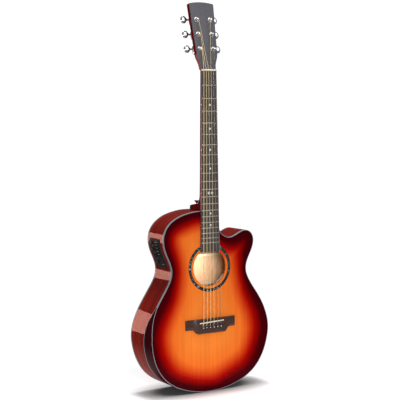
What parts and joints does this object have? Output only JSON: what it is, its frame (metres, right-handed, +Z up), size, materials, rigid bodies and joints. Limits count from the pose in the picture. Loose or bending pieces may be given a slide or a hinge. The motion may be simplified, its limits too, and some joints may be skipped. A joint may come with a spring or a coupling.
{
  "type": "acoustic guitar",
  "caption": "Cutaway steel-string acoustic guitar with a bevelled armrest, turning tuners and a side preamp; it stands on its tail.",
  "frame": {"origin": "on the ground under the middle of the whole object, which stands upright on its tail", "axes": "+X to the treble (cutaway) side, +Y from the soundboard to the back, +Z up the neck to the headstock"},
  "size_m": [0.37, 0.1161, 1.0189],
  "materials": {
    "top_wood": "gloss sunburst, orange to dark red",
    "side_wood": "gloss, dark straight grain",
    "armrest_wood": "gloss",
    "inner_wood": "raw",
    "binding": "gloss",
    "rosette_shell": "gloss shell pattern",
    "neck_wood": "gloss transparent red",
    "headstock_veneer": "satin grey",
    "fretboard_wood": "satin, metal frets and shell dots",
    "rod_steel": "plain",
    "bone": "polished",
    "bridge_wood": "satin",
    "preamp_plastic": "satin",
    "knob_plastic": "satin",
    "pin_plastic": "gloss, white dot",
    "plain_string": "bright",
    "wound_string": "bronze winding",
    "chrome": "mirror"
  },
  "bodies": {
    "root": {"armrest": "armrest_wood", "back_binding": "binding", "back_brace_lower": "inner_wood", "back_brace_upper": "inner_wood", "back_lining": "inner_wood", "back_plate": "side_wood", "bridge": "bridge_wood", "bridge_pin_a": "pin_plastic", "bridge_pin_b": "pin_plastic", "bridge_pin_d": "pin_plastic", "bridge_pin_g": "pin_plastic", "bridge_pin_high_e": "pin_plastic", "bridge_pin_low_e": "pin_plastic", "bridge_plate": "inner_wood", "fretboard": "fretboard_wood", "headstock_faceplate": "headstock_veneer", "neck": "neck_wood", "neck_block": "inner_wood", "nut": "bone", "output_jack": "chrome", "preamp_panel": "preamp_plastic", "rosette": "rosette_shell", "saddle": "bone", "side_rim": "side_wood", "soundboard": "top_wood", "strap_button": "chrome", "string_a": "wound_string", "string_b": "plain_string", "string_d": "wound_string", "string_g": "wound_string", "string_high_e": "plain_string", "string_low_e": "wound_string", "tail_block": "inner_wood", "top_binding": "binding", "top_lining": "inner_wood", "truss_rod": "rod_steel", "tuner_housing_a": "chrome", "tuner_housing_b": "chrome", "tuner_housing_d": "chrome", "tuner_housing_g": "chrome", "tuner_housing_high_e": "chrome", "tuner_housing_low_e": "chrome", "x_brace": "inner_wood"},
    "button_low_e": {"tuner_button_low_e": "chrome"},
    "post_low_e": {"tuner_post_low_e": "chrome"},
    "button_a": {"tuner_button_a": "chrome"},
    "post_a": {"tuner_post_a": "chrome"},
    "button_d": {"tuner_button_d": "chrome"},
    "post_d": {"tuner_post_d": "chrome"},
    "button_high_e": {"tuner_button_high_e": "chrome"},
    "post_high_e": {"tuner_post_high_e": "chrome"},
    "button_b": {"tuner_button_b": "chrome"},
    "post_b": {"tuner_post_b": "chrome"},
    "button_g": {"tuner_button_g": "chrome"},
    "post_g": {"tuner_post_g": "chrome"},
    "volume_knob": {"volume_knob": "knob_plastic"},
    "treble_knob": {"treble_knob": "knob_plastic"},
    "middle_knob": {"middle_knob": "knob_plastic"},
    "bass_knob": {"bass_knob": "knob_plastic"},
    "tuner_push_button": {"tuner_push_button": "knob_plastic"}
  },
  "joints": [
    {"name": "button_turn_low_e", "type": "hinge", "parent": "root", "child": "button_low_e", "pos_m": [-0.0465, -0.01523, 0.89679], "axis": [-1, 0, 0], "continuous": true},
    {"name": "post_turn_low_e", "type": "hinge", "parent": "root", "child": "post_low_e", "pos_m": [-0.0205, -0.03724, 0.89666], "axis": [0, -0.9781, 0.2079], "continuous": true},
    {"name": "button_turn_a", "type": "hinge", "parent": "root", "child": "button_a", "pos_m": [-0.0465, -0.00712, 0.93494], "axis": [-1, 0, 0], "continuous": true},
    {"name": "post_turn_a", "type": "hinge", "parent": "root", "child": "post_a", "pos_m": [-0.0205, -0.02913, 0.93481], "axis": [0, -0.9781, 0.2079], "continuous": true},
    {"name": "button_turn_d", "type": "hinge", "parent": "root", "child": "button_d", "pos_m": [-0.0465, 0.00099, 0.97309], "axis": [-1, 0, 0], "continuous": true},
    {"name": "post_turn_d", "type": "hinge", "parent": "root", "child": "post_d", "pos_m": [-0.0205, -0.02102, 0.97296], "axis": [0, -0.9781, 0.2079], "continuous": true},
    {"name": "button_turn_high_e", "type": "hinge", "parent": "root", "child": "button_high_e", "pos_m": [0.0465, -0.01523, 0.89679], "axis": [1, 0, 0], "continuous": true},
    {"name": "post_turn_high_e", "type": "hinge", "parent": "root", "child": "post_high_e", "pos_m": [0.0205, -0.03724, 0.89666], "axis": [0, -0.9781, 0.2079], "continuous": true},
    {"name": "button_turn_b", "type": "hinge", "parent": "root", "child": "button_b", "pos_m": [0.0465, -0.00712, 0.93494], "axis": [1, 0, 0], "continuous": true},
    {"name": "post_turn_b", "type": "hinge", "parent": "root", "child": "post_b", "pos_m": [0.0205, -0.02913, 0.93481], "axis": [0, -0.9781, 0.2079], "continuous": true},
    {"name": "button_turn_g", "type": "hinge", "parent": "root", "child": "button_g", "pos_m": [0.0465, 0.00099, 0.97309], "axis": [1, 0, 0], "continuous": true},
    {"name": "post_turn_g", "type": "hinge", "parent": "root", "child": "post_g", "pos_m": [0.0205, -0.02102, 0.97296], "axis": [0, -0.9781, 0.2079], "continuous": true},
    {"name": "volume_knob_turn", "type": "hinge", "parent": "root", "child": "volume_knob", "pos_m": [-0.13734, 0.01295, 0.39899], "axis": [-0.9916, 0, -0.1295], "range_deg": [-140, 140]},
    {"name": "treble_knob_turn", "type": "hinge", "parent": "root", "child": "treble_knob", "pos_m": [-0.1338, 0.01295, 0.38199], "axis": [-0.9576, 0, -0.2881], "range_deg": [-140, 140]},
    {"name": "middle_knob_turn", "type": "hinge", "parent": "root", "child": "middle_knob", "pos_m": [-0.12716, 0.01295, 0.36499], "axis": [-0.9153, 0, -0.4027], "range_deg": [-140, 140]},
    {"name": "bass_knob_turn", "type": "hinge", "parent": "root", "child": "bass_knob", "pos_m": [-0.11987, 0.01295, 0.34799], "axis": [-0.9362, 0, -0.3514], "range_deg": [-140, 140]},
    {"name": "push_button_travel", "type": "slide", "parent": "root", "child": "tuner_push_button", "axis": [0.9153, 0, 0.4027], "range_m": [0, 0.001], "stiffness_N_per_m": 400, "springref_m": -0.0012}
  ],
  "couplings": [
    {"joint": "post_turn_low_e", "follows": "button_turn_low_e", "ratio": 0.055556},
    {"joint": "post_turn_a", "follows": "button_turn_a", "ratio": 0.055556},
    {"joint": "post_turn_d", "follows": "button_turn_d", "ratio": 0.055556},
    {"joint": "post_turn_high_e", "follows": "button_turn_high_e", "ratio": 0.055556},
    {"joint": "post_turn_b", "follows": "button_turn_b", "ratio": 0.055556},
    {"joint": "post_turn_g", "follows": "button_turn_g", "ratio": 0.055556}
  ]
}
